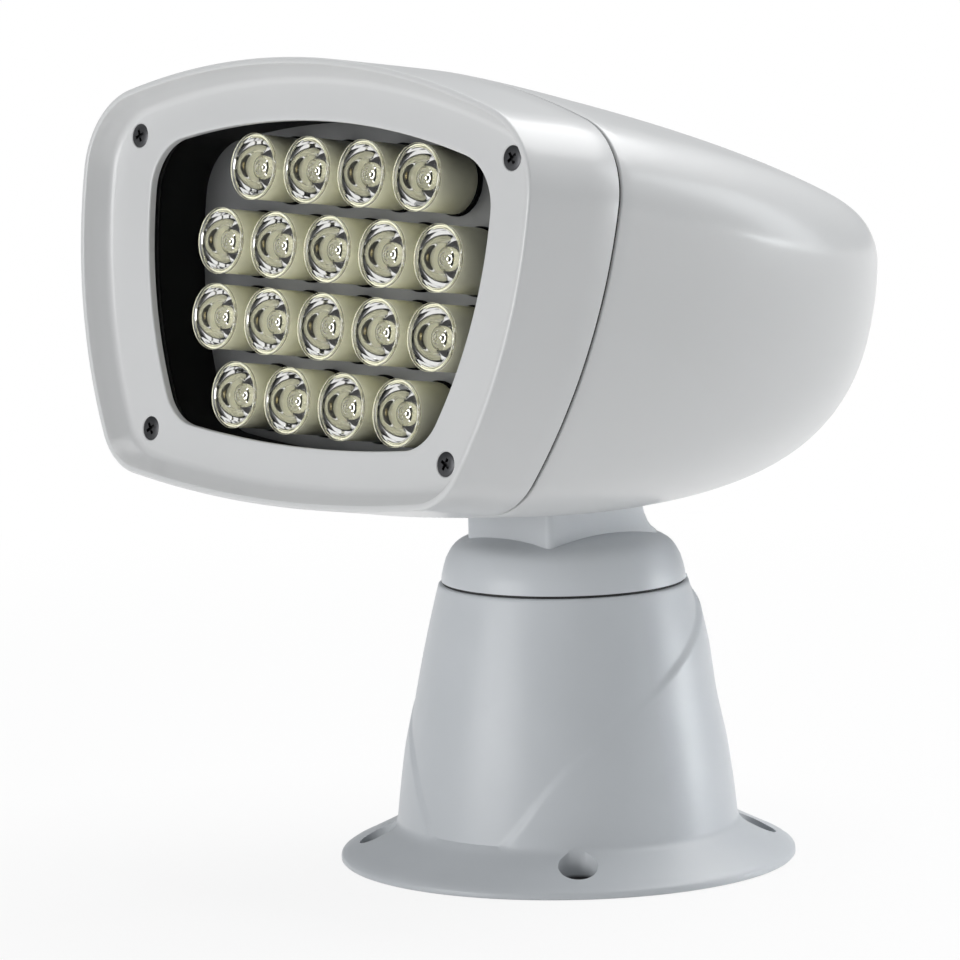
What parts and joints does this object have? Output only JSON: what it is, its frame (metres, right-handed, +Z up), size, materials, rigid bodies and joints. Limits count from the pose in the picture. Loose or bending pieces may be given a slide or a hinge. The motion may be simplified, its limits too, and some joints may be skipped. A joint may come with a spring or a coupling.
{
  "type": "remote-controlled LED floodlight",
  "caption": "Flange-mounted LED floodlight: a bullet-shaped lamp head tilts on a neck that pans on a conical base, both by hidden gear drives.",
  "frame": {"origin": "centre of the mounting flange's underside, on the pan axis", "axes": "+Z up along the pan axis; the lamp faces -Y at rest; the tilt axis is along X"},
  "size_m": [0.2248, 0.2423, 0.2789],
  "materials": {
    "head_paint": "high-gloss white paint over moulded housing",
    "base_paint": "satin white powder coat on a die casting",
    "turret_paint": "satin white powder coat on a die casting",
    "screw_steel": "passivated stainless steel",
    "glass": "clear toughened glass",
    "seal_rubber": "black silicone rubber",
    "shroud_black": "matt black moulding",
    "plate_grey": "dark anodised aluminium",
    "reflector_chrome": "cream translucent polycarbonate cup",
    "optic_clear": "clear acrylic collimator",
    "led_lens": "silicone dome over phosphor",
    "holder_black": "black moulded ring",
    "sink_aluminium": "die-cast aluminium",
    "bracket_steel": "zinc-plated pressed steel",
    "shaft_steel": "ground stainless steel",
    "motor_can": "dark zinc-plated motor can",
    "gear_brass": "machined brass",
    "gear_nylon": "natural acetal",
    "bush_bronze": "oil-filled bronze",
    "driver_case": "potted plastic case",
    "board_green": "circuit board laminate",
    "gland_nylon": "black nylon"
  },
  "bodies": {
    "base": {"base_housing": "base_paint", "pan_bushes": "bush_bronze", "turret_seal": "seal_rubber", "gear_plate": "bracket_steel", "gear_plate_screws": "screw_steel", "pan_motor": "motor_can", "pan_motor_screws": "screw_steel", "base_plate": "sink_aluminium", "base_seal": "seal_rubber", "base_plate_screws": "screw_steel", "cable_gland": "gland_nylon", "gland_nut": "gland_nylon", "control_board": "board_green", "board_screws": "screw_steel", "mounting_gasket": "seal_rubber"},
    "turret": {"turret_housing": "turret_paint", "tilt_bushes": "bush_bronze", "tilt_sector": "gear_nylon", "sector_screws": "screw_steel", "pan_spindle": "shaft_steel", "spindle_screws": "screw_steel", "pan_gear": "gear_nylon", "spindle_nut": "screw_steel"},
    "head": {"front_frame": "head_paint", "bezel_screws": "screw_steel", "window_glass": "glass", "window_gasket": "seal_rubber", "inner_shroud": "shroud_black", "led_plate": "plate_grey", "led_emitters": "led_lens", "collimator_lenses": "optic_clear", "reflectors": "reflector_chrome", "reflector_holders": "holder_black", "heat_sink": "sink_aluminium", "plate_screws": "screw_steel", "rear_housing": "head_paint", "seam_gasket": "seal_rubber", "tilt_yoke": "bracket_steel", "yoke_screws": "screw_steel", "led_driver": "driver_case", "driver_screws": "screw_steel", "tilt_shaft": "shaft_steel", "shaft_clips": "shaft_steel", "tilt_motor": "motor_can", "tilt_motor_screws": "screw_steel"},
    "tilt_pinion": {"tilt_pinion": "gear_brass"},
    "pan_pinion": {"pan_pinion": "gear_brass"}
  },
  "joints": [
    {"name": "pan", "type": "hinge", "parent": "base", "child": "turret", "pos_m": [0, 0, 0.07], "axis": [0, 0, 1], "range_deg": [-175, 175]},
    {"name": "tilt", "type": "hinge", "parent": "turret", "child": "head", "pos_m": [0, 0, 0.15], "axis": [-1, 0, 0], "range_deg": [-18.2, 19.8]},
    {"name": "tilt_pinion_spin", "type": "hinge", "parent": "head", "child": "tilt_pinion", "pos_m": [0, 0.02678, 0.16353], "axis": [-1, 0, 0], "range_deg": [-74, 81]},
    {"name": "pan_pinion_spin", "type": "hinge", "parent": "base", "child": "pan_pinion", "pos_m": [-0.00469, 0.02659, 0.05], "axis": [0, 0, 1], "range_deg": [-620, 620]}
  ],
  "couplings": [
    {"joint": "pan_pinion_spin", "follows": "pan", "ratio": -3.5},
    {"joint": "tilt_pinion_spin", "follows": "tilt", "ratio": 4}
  ]
}
